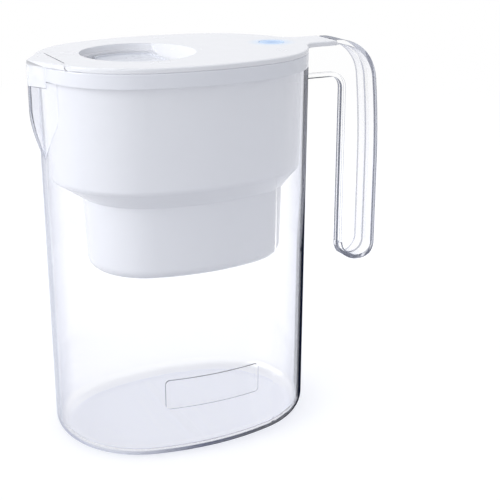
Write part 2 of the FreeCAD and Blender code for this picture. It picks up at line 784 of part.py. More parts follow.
# Filter indicator
def make_button():
    cap = cylinder(button_radius, indicator_x, 0, button_flange_top, lid_top)
    cap = cap.makeFillet(button_edge_radius, edges_at(cap, lid_top))
    flange = cylinder(button_flange_radius, indicator_x, 0, button_flange_bottom, button_flange_top)
    stem_low = board_top + switch_height + button_travel + part_gap
    stem = cylinder(button_stem_radius, indicator_x, 0, stem_low, button_flange_bottom)
    return cap.fuse([flange, stem]).removeSplitter()


def make_button_spring():
    height = button_flange_bottom - board_top - 2 * part_gap - spring_wire
    helix = Part.makeHelix(height / spring_turns, height, spring_radius)
    start = Vector(spring_radius, 0, 0)
    circle = Part.Wire(Part.makeCircle(spring_wire / 2, start, ALONG_Y))
    coil = Part.Wire(helix.Edges).makePipeShell([circle], True, True)
    coil.translate(Vector(indicator_x, 0, board_top + part_gap + spring_wire / 2))
    return coil


def make_housing():
    cup = cylinder(housing_radius, indicator_x, 0, housing_bottom, collar_top)
    ear_low = collar_top - ear_thickness
    for side in (-1, 1):
        ear = cylinder(ear_radius, indicator_x, side * ear_offset, ear_low, collar_top)
        bridge = box(indicator_x - ear_radius, indicator_x + ear_radius,
                     min(side * housing_bore_radius, side * ear_offset),
                     max(side * housing_bore_radius, side * ear_offset), ear_low, collar_top)
        cup = cup.fuse([ear, bridge])
        cup = cup.cut(cylinder(screw_radius + part_gap, indicator_x, side * ear_offset,
                               ear_low, collar_top))
    bore = cylinder(housing_bore_radius, indicator_x, 0, board_bottom, collar_top)
    cell_bore = cylinder(housing_bore_radius - board_ledge, indicator_x, 0, housing_bottom, board_bottom)
    return cup.cut([bore, cell_bore]).removeSplitter()


def indicator_inside():
    x = indicator_x
    half = switch_side / 2
    board = cylinder(housing_bore_radius - seat_gap, x, 0, board_bottom, board_top)
    switch = box(x - half, x + half, -half, half, board_top, board_top + switch_height)
    leds = []
    for k in range(led_count):
        led = box(-led_length / 2, led_length / 2, -led_width / 2, led_width / 2,
                  board_top, board_top + led_height)
        led.translate(Vector(led_ring_radius, 0, 0))
        led.rotate(Vector(0, 0, 0), UP, 360 * (k + 0.5) / led_count)
        led.translate(Vector(x, 0, 0))
        leds.append(led)
    cell = cylinder(cell_radius, x, 0, cell_bottom, cell_top)
    strip = box(x - cell_radius / 2, x + cell_radius / 2, -led_length, led_length, plug_top, cell_bottom)
    finger = box(x - led_length, x + led_length, -led_length, led_length, cell_top, board_bottom)
    plug_radius = housing_bore_radius - board_ledge - seat_gap
    cover = cylinder(housing_radius, x, 0, cover_top - cover_thickness, cover_top)
    cover = cover.fuse(cylinder(plug_radius, x, 0, cover_top, plug_top))
    seal = cylinder(housing_radius - seat_gap, x, 0, cover_top, housing_bottom)
    seal = seal.cut(cylinder(housing_bore_radius - board_ledge, x, 0, cover_top, housing_bottom))
    return {
        "circuit_board": board,
        "reset_switch": switch,
        "indicator_leds": Part.makeCompound(leds),
        "coin_cell": cell,
        "cell_contacts": Part.makeCompound([strip, finger]),
        "battery_cover": cover.removeSplitter(),
        "battery_cover_seal": seal,
    }


def make_screws():
    screws = []
    ear_low = collar_top - ear_thickness
    for side in (-1, 1):
        y = side * ear_offset
        head = cylinder(screw_head_radius, indicator_x, y, ear_low - screw_head_height, ear_low)
        shank = cylinder(screw_radius, indicator_x, y, ear_low, collar_top + screw_bite)
        slot = box(indicator_x - screw_head_radius, indicator_x + screw_head_radius,
                   y - screw_slot_width / 2, y + screw_slot_width / 2,
                   ear_low - screw_head_height, ear_low - screw_head_height / 2)
        screws.append(head.fuse(shank).cut(slot))
    return Part.makeCompound(screws)


def build():
    parts = {
        "jug": make_jug(),
        "reservoir": make_reservoir(),
        "filter_cup": make_filter_cup(),
        "cartridge_shell": make_cartridge_shell(),
        "cartridge_cap": make_cartridge_cap(),
        "lid": make_lid(),
        "fill_flap": make_fill_flap(),
        "fill_flap_pin": make_fill_flap_pin(),
        "spout_flap": make_spout_flap(),
        "indicator_button": make_button(),
        "button_spring": make_button_spring(),
        "indicator_housing": make_housing(),
        "indicator_screws": make_screws(),
    }
    parts.update(cartridge_fill())
    parts.update(indicator_inside())
    return parts


os.makedirs("parts", exist_ok=True)
for name, shape in build().items():
    shape.exportStep("parts/" + name + ".step")
    extent = shape.BoundBox
    print(name, "solids", len(shape.Solids), "valid", shape.isValid(), "volume", round(shape.Volume),
          "x %.1f..%.1f y %.1f..%.1f z %.1f..%.1f" % (extent.XMin, extent.XMax, extent.YMin, extent.YMax,
                                                      extent.ZMin, extent.ZMax))
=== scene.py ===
# %% [markdown]
# A water filter pitcher: a clear jug, and white mouldings that hang in it and close it. The solids come
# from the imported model, so this lesson is about looks: clear plastic that shows its own thickness, white
# plastic that doesn't burn out, a lit indicator, and the studio that a clear object needs. Everything is
# in metres, with the origin at the centre of the jug's flat base.

# %% Load the frame
import bpy
import math
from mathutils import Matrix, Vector


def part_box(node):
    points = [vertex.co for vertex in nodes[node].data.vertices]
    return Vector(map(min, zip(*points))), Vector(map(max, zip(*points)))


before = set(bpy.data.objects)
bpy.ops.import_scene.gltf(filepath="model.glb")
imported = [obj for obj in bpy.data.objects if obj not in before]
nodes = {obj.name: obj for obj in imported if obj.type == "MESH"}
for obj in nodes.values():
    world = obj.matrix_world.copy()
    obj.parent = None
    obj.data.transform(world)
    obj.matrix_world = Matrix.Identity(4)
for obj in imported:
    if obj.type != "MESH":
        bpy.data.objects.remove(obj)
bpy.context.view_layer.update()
MM = 0.001
PITCHER_HEIGHT = 0.275
print("nodes:", len(nodes))

# %% [markdown]
# Colours are written as sRGB hex values, the way a colour picker gives them. Shaders work in linear
# light, so one function turns them. A second small function adds a shader node with its settings and
# links, which keeps each material short enough to read, and a third fills the stops of a colour ramp.


# %% Colour and node helpers
def linear(hex_value):
    """Linear RGBA of an sRGB hex colour."""
    channels = [int(hex_value[i:i + 2], 16) / 255 for i in (1, 3, 5)]
    return [c / 12.92 if c <= 0.04045 else ((c + 0.055) / 1.055)**2.4 for c in channels] + [1.0]


def darker(colour, share):
    """Linear RGBA with its three channels times a share."""
    return [c * share for c in colour[:3]] + [1.0]


def add_node(tree, kind, settings=None, inputs=None):
    """New shader node; an input is a value, or a socket to link from."""
    node = tree.nodes.new(kind)
    for name, value in (settings or {}).items():
        setattr(node, name, value)
    for name, value in (inputs or {}).items():
        if isinstance(value, bpy.types.NodeSocket):
            tree.links.new(value, node.inputs[name])
        else:
            node.inputs[name].default_value = value
    return node


def set_stops(ramp, stops):
    """Give a colour ramp its (place, hex) stops, and return its colour."""
    elements = ramp.color_ramp.elements
    while len(elements) < len(stops):
        elements.new(0.5)
    for element, (place, colour) in zip(elements, stops):
        element.position = place
        element.color = linear(colour)
    return ramp.outputs["Color"]


def new_material(name):
    """Material with an empty node tree and its output."""
    material = bpy.data.materials.new(name)
    material.use_nodes = True
    tree = material.node_tree
    tree.nodes.clear()
    return material, tree, add_node(tree, "ShaderNodeOutputMaterial")


def dress(names, material):
    """Give CAD nodes one material."""
    for name in names:
        data = nodes[name].data
        data.materials.clear()
        data.materials.append(material)
    print(material.name, "on", ", ".join(names))


print("half grey in linear light:", round(linear("#808080")[0], 3))

# %% [markdown]
# The camera stands where the photo was taken from: 26 degrees round from the front towards the spout, 18
# degrees above the table, with a lens of about 79 mm. It could be placed by eye, but a camera fitted to
# the pitcher's outlines gives the sizes as well. The target is half way up the pitcher, and the two small
# offsets and the shift put it left of the middle of the frame. The Standard view transform shows a colour
# as it is: white plastic on a white ground keeps its own shade, with no film curve on top.

# %% Camera
YAW = math.radians(26.08)
PITCH = math.radians(17.92)
VIEW_DISTANCE = 0.7986
SIDE_OFFSET = 0.04493
RISE_OFFSET = 0.00994
LENS_MM = 79.2
SENSOR_MM = 36.0
SHIFT = (0.02, -0.05)
MIDDLE = Vector((0, 0, PITCHER_HEIGHT / 2))

look = Vector((math.sin(YAW) * math.cos(PITCH), math.cos(YAW) * math.cos(PITCH), -math.sin(PITCH)))
right = Vector((math.cos(YAW), -math.sin(YAW), 0))
up = right.cross(look)
camera = bpy.data.objects.new("photo_camera", bpy.data.cameras.new("photo_camera"))
bpy.context.scene.collection.objects.link(camera)
bpy.context.scene.camera = camera
bpy.context.scene.view_settings.view_transform = "Standard"
camera.location = MIDDLE - look * VIEW_DISTANCE + right * SIDE_OFFSET + up * RISE_OFFSET
camera.rotation_euler = look.to_track_quat("-Z", "Y").to_euler()
camera.data.lens = LENS_MM
camera.data.sensor_width = SENSOR_MM
camera.data.shift_x, camera.data.shift_y = SHIFT
print("camera at", [round(v, 3) for v in camera.location])

# %% [markdown]
# Clear plastic has no colour of its own to see: it shows what is round it. It is usually photographed on
# a white sweep with big soft lamps, and the only lines left are its edges, where one looks through the
# wall lengthwise. So the world is white for the camera, for mirrored rays and for rays that have passed
# through the plastic. A white world that also lit the object would burn out the white mouldings. The
# light that falls on them is softer, a little blue, and stronger from the spout's side, as in the photo:
# they go from near white there to a cool grey.

# %% White world with a softer light of its own
AMBIENT_LEFT = 1.06
AMBIENT_RIGHT = 0.44
AMBIENT_COLOUR = "#F0F3F9"
WHITE = "#FFFFFF"


def is_seen(tree):
    """1 for rays of the camera, and for those that passed clear plastic or were mirrored, otherwise 0."""
    path = add_node(tree, "ShaderNodeLightPath")
    direct = add_node(tree, "ShaderNodeMath", {"operation": "MAXIMUM"},
                      {0: path.outputs["Is Camera Ray"], 1: path.outputs["Is Transmission Ray"]})
    any_of_them = add_node(tree, "ShaderNodeMath", {"operation": "MAXIMUM"},
                           {0: direct.outputs[0], 1: path.outputs["Is Glossy Ray"]})
    return any_of_them.outputs[0]


world = bpy.data.worlds.new("white_studio")
bpy.context.scene.world = world
world.use_nodes = True
tree = world.node_tree
tree.nodes.clear()
out = add_node(tree, "ShaderNodeOutputWorld")
direction = add_node(tree, "ShaderNodeTexCoord")
parts = add_node(tree, "ShaderNodeSeparateXYZ", None, {"Vector": direction.outputs["Generated"]})
across = add_node(tree, "ShaderNodeMapRange", None, {
    "Value": parts.outputs["X"], "From Min": -1.0, "From Max": 1.0,
    "To Min": AMBIENT_LEFT, "To Max": AMBIENT_RIGHT})
soft = add_node(tree, "ShaderNodeBackground", None,
                {"Color": linear(AMBIENT_COLOUR), "Strength": across.outputs[0]})
seen = add_node(tree, "ShaderNodeBackground", None, {"Color": linear(WHITE), "Strength": 1.0})
world_mix = add_node(tree, "ShaderNodeMixShader", None,
                     {0: is_seen(tree), 1: soft.outputs[0], 2: seen.outputs[0]})
tree.links.new(world_mix.outputs[0], out.inputs["Surface"])
print("ambient light from", AMBIENT_LEFT, "on the left to", AMBIENT_RIGHT, "on the right")

# %% [markdown]
# The pitcher stands on pale paper. Plain paper under this light comes out grey, so a glow that only seen
# rays meet lifts it just to white, and the shadow under the jug stays. Far from the pitcher the paper goes
# over into the background's own white. A curved backdrop would do the same, but only for one camera, and
# this floor shows no hard horizon from any side.

# %% Floor
FLOOR_SIZE = 6.0
FLOOR_GLOW = 0.45
FADE_START = 0.5
FADE_END = 1.4

sweep, tree, out = new_material("white_paper_sweep")
paper = add_node(tree, "ShaderNodeBsdfDiffuse", None, {"Color": linear("#D8D8DA"), "Roughness": 1.0})
glow = add_node(tree, "ShaderNodeEmission", None, {"Color": linear(WHITE), "Strength": FLOOR_GLOW})
nothing = add_node(tree, "ShaderNodeEmission", None, {"Strength": 0.0})
shown_glow = add_node(tree, "ShaderNodeMixShader", None,
                      {0: is_seen(tree), 1: nothing.outputs[0], 2: glow.outputs[0]})
lit_paper = add_node(tree, "ShaderNodeAddShader", None, {0: paper.outputs[0], 1: shown_glow.outputs[0]})
place = add_node(tree, "ShaderNodeTexCoord")
away = add_node(tree, "ShaderNodeVectorMath", {"operation": "LENGTH"}, {0: place.outputs["Object"]})
far = add_node(tree, "ShaderNodeMapRange", {"interpolation_type": "SMOOTHSTEP"},
               {"Value": away.outputs["Value"], "From Min": FADE_START, "From Max": FADE_END})
shown_far = add_node(tree, "ShaderNodeMath", {"operation": "MULTIPLY"},
                     {0: far.outputs[0], 1: is_seen(tree)})
white = add_node(tree, "ShaderNodeEmission", None, {"Color": linear(WHITE), "Strength": 1.0})
sweep_mix = add_node(tree, "ShaderNodeMixShader", None,
                     {0: shown_far.outputs[0], 1: lit_paper.outputs[0], 2: white.outputs[0]})
tree.links.new(sweep_mix.outputs[0], out.inputs["Surface"])

floor_mesh = bpy.data.meshes.new("floor")
half = FLOOR_SIZE / 2
floor_mesh.from_pydata([(-half, -half, 0), (half, -half, 0), (half, half, 0), (-half, half, 0)], [],
                       [(0, 1, 2, 3)])
floor_mesh.materials.append(sweep)
floor = bpy.data.objects.new("floor", floor_mesh)
bpy.context.scene.collection.objects.link(floor)
print("floor", FLOOR_SIZE, "m wide, white from", FADE_END, "m out")

# %% [markdown]
# Two large soft lamps finish the studio. The one on the spout's side shapes the mouldings, and the one
# above lifts the lid. Small lamps would put hard bright spots on the gloss, and a clear object would show
# each of them twice.

# %% Lamps
KEY_PLACE = (-1.5, 0.15, 0.65)
TOP_PLACE = (0.2, 0.3, 1.8)


def add_lamp(name, place, size, watts):
    """Square white lamp that faces the pitcher."""
    data = bpy.data.lights.new(name, "AREA")
    data.shape = "SQUARE"
    data.size = size
    data.energy = watts
    lamp = bpy.data.objects.new(name, data)
    lamp.location = place
    lamp.rotation_euler = (MIDDLE - Vector(place)).to_track_quat("-Z", "Y").to_euler()
    bpy.context.scene.collection.objects.link(lamp)
    print(name, "size", size, "watts", watts)


add_lamp("key_left", KEY_PLACE, size=1.0, watts=11.5)
add_lamp("top_soft", TOP_PLACE, size=1.8, watts=4.8)

# %% [markdown]
# The jug is injection-moulded SAN, a clear styrene plastic with an index of 1.57. All that one sees of
# such a jug are its edges. Light that meets the inside of a wall at more than 39.6 degrees turns back,
# travels on in the plastic and comes out far from where it went in, so it brings the colour of the room
# at the side and not of the white sweep behind. A glass shader alone could show that only in a whole
# dark room, which would spoil the white. Here that room is painted on the edges instead, as a painted
# reflection. It follows X: the painted room is pale on the spout's side and dark navy on the handle's,
# the painted shade of a studio that is darker on that side.

# %% Clear SAN: the painted colour of an edge
RAMP_LOW_X = -100 * MM
RAMP_HIGH_X = 160 * MM
# Above the rim, on the handle's arm, the painted edges are the grey of this X everywhere
PAINTED_RIM_GREY_X = 127 * MM
RIM_START_Z = 258 * MM
RIM_END_Z = 264 * MM


def at_x(millimetres):
    """Place of an X on the ramp along the jug."""
    return (millimetres * MM - RAMP_LOW_X) / (RAMP_HIGH_X - RAMP_LOW_X)


def painted_edge_colour_of(tree, place, stops):
    """Painted edge colour, a painted reflection of the room, from the X of a point, or the grey of the rim
    above it.
    """
    painted_rim_grey = add_node(tree, "ShaderNodeMapRange", None, {
        "Value": place.outputs["Z"], "From Min": RIM_START_Z, "From Max": RIM_END_Z,
        "To Min": RAMP_LOW_X, "To Max": PAINTED_RIM_GREY_X})
    edge_x = add_node(tree, "ShaderNodeMath", {"operation": "MAXIMUM"},
                      {0: place.outputs["X"], 1: painted_rim_grey.outputs[0]})
    along = add_node(tree, "ShaderNodeMapRange", None,
                     {"Value": edge_x.outputs[0], "From Min": RAMP_LOW_X, "From Max": RAMP_HIGH_X})
    ramp = add_node(tree, "ShaderNodeValToRGB", None, {"Fac": along.outputs[0]})
    return set_stops(ramp, stops)


print("handle's grip at", round(at_x(150), 2), "on the ramp")

# %% [markdown]
# Where does an edge begin? Layer Weight gives a facing value, 1 minus the cosine of the angle to the
# surface. Inside the wall light turns back from a facing value of about 0.229 on, and the painted edge
# colour starts a hair before it, because flat facets of the mesh stay just below. The base's round corner
# bends light most, so there only the outermost rim is painted dark, and up the wall the line gets
# thinner. Seen from air, the last 16 degrees before edge on, and on the upper wall the last 8, take the
# same painted colour, a painted reflection of a darker room, or the white room would mirror in them.

# %% Clear SAN: where an edge begins
SAN_IOR = 1.57
TURN_BASE = 0.35
TURN_WALL = 0.2258
TURN_TOP = 0.2286
TURN_WIDTH = 0.0015
GRAZE_WALL = 0.72
GRAZE_TOP = 0.86
GRAZE_WIDTH = 0.08
BASE_LOW_Z = 4 * MM
BASE_HIGH_Z = 14 * MM
UPPER_START_Z = 130 * MM
UPPER_END_Z = 180 * MM


def past_angle(tree, facing, start, width):
    """0 up to a facing value, and 1 from a width past it."""
    past = add_node(tree, "ShaderNodeMath", {"operation": "SUBTRACT"}, {0: facing, 1: start})
    share = add_node(tree, "ShaderNodeMapRange", None,
                     {"Value": past.outputs[0], "From Min": 0.0, "From Max": width})
    return share.outputs[0]


def inside_painted_edge(tree, facing, height, painted_edge_colour):
    """Tint seen from within the wall: none, and then the painted edge colour where light turns back."""
    base_start = add_node(tree, "ShaderNodeMapRange", None, {
        "Value": height, "From Min": BASE_LOW_Z, "From Max": BASE_HIGH_Z,
        "To Min": TURN_BASE, "To Max": TURN_WALL})
    high_start = add_node(tree, "ShaderNodeMapRange", None, {
        "Value": height, "From Min": UPPER_START_Z, "From Max": UPPER_END_Z,
        "To Min": TURN_WALL, "To Max": TURN_TOP})
    start = add_node(tree, "ShaderNodeMath", {"operation": "MAXIMUM"},
                     {0: base_start.outputs[0], 1: high_start.outputs[0]})
    turned = past_angle(tree, facing, start.outputs[0], TURN_WIDTH)
    tint = add_node(tree, "ShaderNodeMix", {"data_type": "RGBA"},
                    {"Factor": turned, "A": linear(WHITE), "B": painted_edge_colour})
    return tint.outputs["Result"]


def outside_painted_reflection(tree, facing, height, painted_edge_colour, stops):
    """Painted reflection seen from air: a little more of it the flatter one looks, then the painted edge
    colour.
    """
    start = add_node(tree, "ShaderNodeMapRange", None, {
        "Value": height, "From Min": UPPER_START_Z, "From Max": UPPER_END_Z,
        "To Min": GRAZE_WALL, "To Max": GRAZE_TOP})
    grazing = past_angle(tree, facing, start.outputs[0], GRAZE_WIDTH)
    ramp = add_node(tree, "ShaderNodeValToRGB", None, {"Fac": facing})
    tint = add_node(tree, "ShaderNodeMix", {"data_type": "RGBA"},
                    {"Factor": grazing, "A": set_stops(ramp, stops), "B": painted_edge_colour})
    return tint.outputs["Result"]


turn_angle = math.asin(1 / SAN_IOR)
print("light turns back from a facing value of", round(1 - math.cos(turn_angle), 3))

# %% [markdown]
# Two things a renderer does badly with clear plastic are helped here. Shadow and diffuse rays pass
# straight through, so the jug throws no black shadow on what it holds, and so does a ray after four turns
# in the plastic, where the renderer would end it in black. And because light passes straight through,
# the jug would stand on the paper with no contact shadow: near the table its upright walls hold some back.

# %% Clear SAN: light that goes straight through
TURNS_ALLOWED = 3.0
SHADE_HEIGHT = 14 * MM


def goes_straight(tree):
    """1 for rays that only carry light, and for a ray that has turned too often."""
    path = add_node(tree, "ShaderNodeLightPath")
    carries = add_node(tree, "ShaderNodeMath", {"operation": "MAXIMUM"},
                       {0: path.outputs["Is Shadow Ray"], 1: path.outputs["Is Diffuse Ray"]})
    deep = add_node(tree, "ShaderNodeMath", {"operation": "GREATER_THAN"},
                    {0: path.outputs["Ray Depth"], 1: TURNS_ALLOWED})
    straight = add_node(tree, "ShaderNodeMath", {"operation": "MAXIMUM"},
                        {0: carries.outputs[0], 1: deep.outputs[0]})
    return straight.outputs[0]


def straight_through(tree, height, true_normal):
    """Transparent shader that holds light back in the upright walls near the table."""
    normal = add_node(tree, "ShaderNodeSeparateXYZ", None, {"Vector": true_normal})
    flat = add_node(tree, "ShaderNodeMath", {"operation": "ABSOLUTE"}, {0: normal.outputs["Z"]})
    shade = add_node(tree, "ShaderNodeMix", {"data_type": "RGBA"}, {
        "Factor": flat.outputs[0], "A": linear("#5C6070"), "B": linear("#E6E8F0")})
    low = add_node(tree, "ShaderNodeMapRange", None,
                   {"Value": height, "From Min": 0.0, "From Max": SHADE_HEIGHT})
    passed = add_node(tree, "ShaderNodeMix", {"data_type": "RGBA"}, {
        "Factor": low.outputs[0], "A": shade.outputs["Result"], "B": linear(WHITE)})
    clear = add_node(tree, "ShaderNodeBsdfTransparent", None, {"Color": passed.outputs["Result"]})
    return clear.outputs[0]


print("contact shadow from walls up to", round(SHADE_HEIGHT / MM), "mm")

# %% [markdown]
# The material joins these parts. Real moulded walls have a very slight waviness, which bends the lines
# seen through them, so a soft noise with 25 mm waves goes to the normal. Polished SAN is a glass shader
# with no roughness. A milky grade scatters part of the light, which the Principled shader gives with a
# Transmission Weight below 1.

# %% Clear SAN: the material, on the jug
WAVE_LENGTH = 25 * MM


def clear_san(name, painted_reflection_from_outside, painted_edges_along_x, roughness, clearness=1.0):
    """Clear plastic: its painted reflection by angle seen from air, and the painted colour of its edges
    along X.
    """
    material, tree, out = new_material(name)
    where = add_node(tree, "ShaderNodeTexCoord")
    waves = add_node(tree, "ShaderNodeTexNoise", None,
                     {"Vector": where.outputs["Object"], "Scale": 1 / WAVE_LENGTH, "Detail": 1.0})
    bump = add_node(tree, "ShaderNodeBump", None,
                    {"Height": waves.outputs[0], "Strength": 0.05, "Distance": 1 * MM})
    weight = add_node(tree, "ShaderNodeLayerWeight", None, {"Blend": 0.5})
    facing = weight.outputs["Facing"]
    place = add_node(tree, "ShaderNodeSeparateXYZ", None, {"Vector": where.outputs["Object"]})
    height = place.outputs["Z"]
    painted_edge_colour = painted_edge_colour_of(tree, place, painted_edges_along_x)
    side = add_node(tree, "ShaderNodeNewGeometry")
    tint = add_node(tree, "ShaderNodeMix", {"data_type": "RGBA"}, {
        "Factor": side.outputs["Backfacing"],
        "A": outside_painted_reflection(tree, facing, height, painted_edge_colour, painted_reflection_from_outside),
        "B": inside_painted_edge(tree, facing, height, painted_edge_colour)})
    if clearness == 1.0:
        shader = add_node(tree, "ShaderNodeBsdfGlass", None, {
            "Color": tint.outputs["Result"], "Roughness": roughness, "IOR": SAN_IOR,
            "Normal": bump.outputs["Normal"]})
    else:
        shader = add_node(tree, "ShaderNodeBsdfPrincipled", None, {
            "Base Color": tint.outputs["Result"], "Roughness": roughness, "IOR": SAN_IOR,
            "Transmission Weight": clearness, "Normal": bump.outputs["Normal"]})
    mix = add_node(tree, "ShaderNodeMixShader", None, {
        0: goes_straight(tree), 1: shader.outputs[0],
        2: straight_through(tree, height, side.outputs["True Normal"])})
    tree.links.new(mix.outputs[0], out.inputs["Surface"])
    return material


# Painted reflection and painted edges: the grazing ramp and the edge colours along X stand in for a darker
# room, pale on the spout's side and dark navy on the handle's.
jug_painted_reflection = [(0.0, "#FFFFFF"), (0.45, "#FDFDFE"), (0.75, "#EDEEF3"), (0.97, "#B8BBC6")]
jug_painted_edges = [(at_x(-98), "#A0A2A8"), (at_x(-96), "#E2E4EA"), (at_x(-88), "#F4F5F8"), (at_x(-65), "#E8EAEF"),
             (at_x(-10), "#5A607A"), (at_x(50), "#181E34"), (at_x(118), "#181E34"),
             (at_x(127), "#BABDC6"), (at_x(155), "#C0C2CA")]
dress(["jug"], clear_san("clear_moulded_SAN", jug_painted_reflection, jug_painted_edges, roughness=0.0))

# %% [markdown]
# Some of the indicator's light leaks into the lid, which takes up a pale blue halo round it. A blue lamp
# there would need many samples to stay smooth. The distance from the top of the indicator gives the same
# halo: it mixes a blue into the lid's own colour, and adds a weak glow of it.

# %% Halo round the indicator
INDICATOR_PLACE = (75 * MM, 0.0, PITCHER_HEIGHT)
HALO_START = 6 * MM
HALO_END = 20 * MM
HALO_SHARE = 0.7
HALO_GLOW = 0.12


def from_indicator(tree, where):
    """Distance of a point from the top of the indicator."""
    middle = add_node(tree, "ShaderNodeVectorMath", {"operation": "SUBTRACT"},
                      {0: where.outputs["Object"], 1: INDICATOR_PLACE})
    reach = add_node(tree, "ShaderNodeVectorMath", {"operation": "LENGTH"}, {0: middle.outputs[0]})
    return reach.outputs["Value"]


def add_halo(tree, where, tint, shader):
    """Turn a shader's colour bluer near the indicator, and let it glow a little."""
    fade = add_node(tree, "ShaderNodeMapRange", {"interpolation_type": "SMOOTHSTEP"}, {
        "Value": from_indicator(tree, where), "From Min": HALO_START, "From Max": HALO_END,
        "To Min": HALO_SHARE, "To Max": 0.0})
    bluer = add_node(tree, "ShaderNodeMix", {"data_type": "RGBA"},
                     {"Factor": fade.outputs[0], "A": tint, "B": linear("#B4D2F2")})
    glow = add_node(tree, "ShaderNodeMath", {"operation": "MULTIPLY"}, {0: fade.outputs[0], 1: HALO_GLOW})
    tree.links.new(bluer.outputs["Result"], shader.inputs["Base Color"])
    tree.links.new(bluer.outputs["Result"], shader.inputs["Emission Color"])
    tree.links.new(glow.outputs[0], shader.inputs["Emission Strength"])


print("halo from", round(HALO_START / MM), "to", round(HALO_END / MM), "mm")

# %% [markdown]
# The reservoir, its cup and the lid are glossy white ABS (index 1.53). It isn't pure white: in the light
# it reads about #F7F8FC. One flat value would look like paper, so the gloss is broken by a fine moulded
# texture and slow changes in roughness, and highlights get soft uneven rims. The lid's copy of this ABS
# is painted a little whiter, painted light from the lamp above, and the flap in the lid is painted a
# little greyer, painted shade of the well it lies in, and is a little less polished. The housing under it
# is a little greyer and less polished.

# %% White ABS
ABS_IOR = 1.53
PATCH_LENGTH = 30 * MM
SMOOTHER = 0.8
ROUGHER = 1.25
PATCH_SHADE = 0.985


def white_plastic(name, colour, roughness, grain_mm, grain_depth_mm, ior=ABS_IOR, halo=False):
    """Moulded opaque plastic with fine grain; the halo is light leaking round the indicator."""
    material, tree, out = new_material(name)
    where = add_node(tree, "ShaderNodeTexCoord")
    patches = add_node(tree, "ShaderNodeTexNoise", None,
                       {"Vector": where.outputs["Object"], "Scale": 1 / PATCH_LENGTH, "Detail": 3.0})
    rough = add_node(tree, "ShaderNodeMapRange", None, {
        "Value": patches.outputs[0], "To Min": roughness * SMOOTHER, "To Max": roughness * ROUGHER})
    grain = add_node(tree, "ShaderNodeTexNoise", None,
                     {"Vector": where.outputs["Object"], "Scale": 1 / (grain_mm * MM), "Detail": 2.0})
    bump = add_node(tree, "ShaderNodeBump", None, {
        "Height": grain.outputs[0], "Strength": 0.3, "Distance": grain_depth_mm * MM})
    tint = add_node(tree, "ShaderNodeMix", {"data_type": "RGBA"}, {
        "Factor": patches.outputs[0], "A": linear(colour), "B": darker(linear(colour), PATCH_SHADE)})
    shader = add_node(tree, "ShaderNodeBsdfPrincipled", None, {
        "Base Color": tint.outputs["Result"], "Roughness": rough.outputs[0], "IOR": ior,
        "Normal": bump.outputs["Normal"]})
    if halo:
        add_halo(tree, where, tint.outputs["Result"], shader)
    tree.links.new(shader.outputs[0], out.inputs["Surface"])
    return material


# The lid's copy is painted whiter than the reservoir's: painted light from the lamp above. The spout flap's
# plate takes it too.
lid_abs_painted_light = white_plastic("white_gloss_ABS_lid_painted_light", "#F4F4F7",
                        roughness=0.25, grain_mm=0.8, grain_depth_mm=0.01, halo=True)
reservoir_abs = white_plastic("white_gloss_ABS", "#EFF0F5",
                              roughness=0.22, grain_mm=0.8, grain_depth_mm=0.01)
# The flap is the same ABS painted greyer: painted shade of the well round it.
flap_abs_painted_shade = white_plastic("white_gloss_ABS_flap_painted_shade", "#E6E8EE",
                         roughness=0.28, grain_mm=0.8, grain_depth_mm=0.01)
housing_abs = white_plastic("white_satin_ABS", "#E6E7EA",
                            roughness=0.4, grain_mm=0.5, grain_depth_mm=0.02)
dress(["lid"], lid_abs_painted_light)
dress(["reservoir", "filter_cup"], reservoir_abs)
dress(["fill_flap"], flap_abs_painted_shade)
dress(["indicator_housing", "battery_cover"], housing_abs)

# %% [markdown]
# The spout flap is a white plate with a milky V skirt under it. It could be cut into two objects, but it
# is one solid in the model and stays one: its faces are shared out by height. Those of the plate take the
# lid's white plastic, those below it a milky grade of the jug's.

# %% Spout flap
PLATE_THICKNESS = 3.3 * MM
# The skirt's grazing ramp and its one pale edge colour are painted reflection too.
skirt_painted_reflection = [(0.0, "#FFFFFF"), (0.5, "#F8F9FC"), (0.9, "#C4C8D2")]
skirt_painted_edges = [(0.0, "#E6E8EE"), (1.0, "#E6E8EE")]

flap = nodes["spout_flap"]
plate_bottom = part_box("spout_flap")[1].z - PLATE_THICKNESS
skirt_san = clear_san("milky_SAN_skirt", skirt_painted_reflection, skirt_painted_edges, roughness=0.05, clearness=0.5)
flap.data.materials.clear()
flap.data.materials.append(lid_abs_painted_light)
flap.data.materials.append(skirt_san)
for face in flap.data.polygons:
    face.material_index = 1 if face.center.z < plate_bottom else 0
print("skirt faces:", sum(face.material_index for face in flap.data.polygons))

# %% [markdown]
# The indicator is a translucent acrylic button (index 1.49) over four LEDs. Real scattering in so small a
# piece would cost much and show little. Its light is bluest in the middle and pales to the rim, so a ramp
# over the distance from the top of the button gives its colour, and a weak glow makes it look lit from
# below. The LEDs under it are brighter, and their epoxy takes the same way.

# %% Lit button and LEDs
ACRYLIC_IOR = 1.49
CLOUD_LENGTH = 1.2 * MM


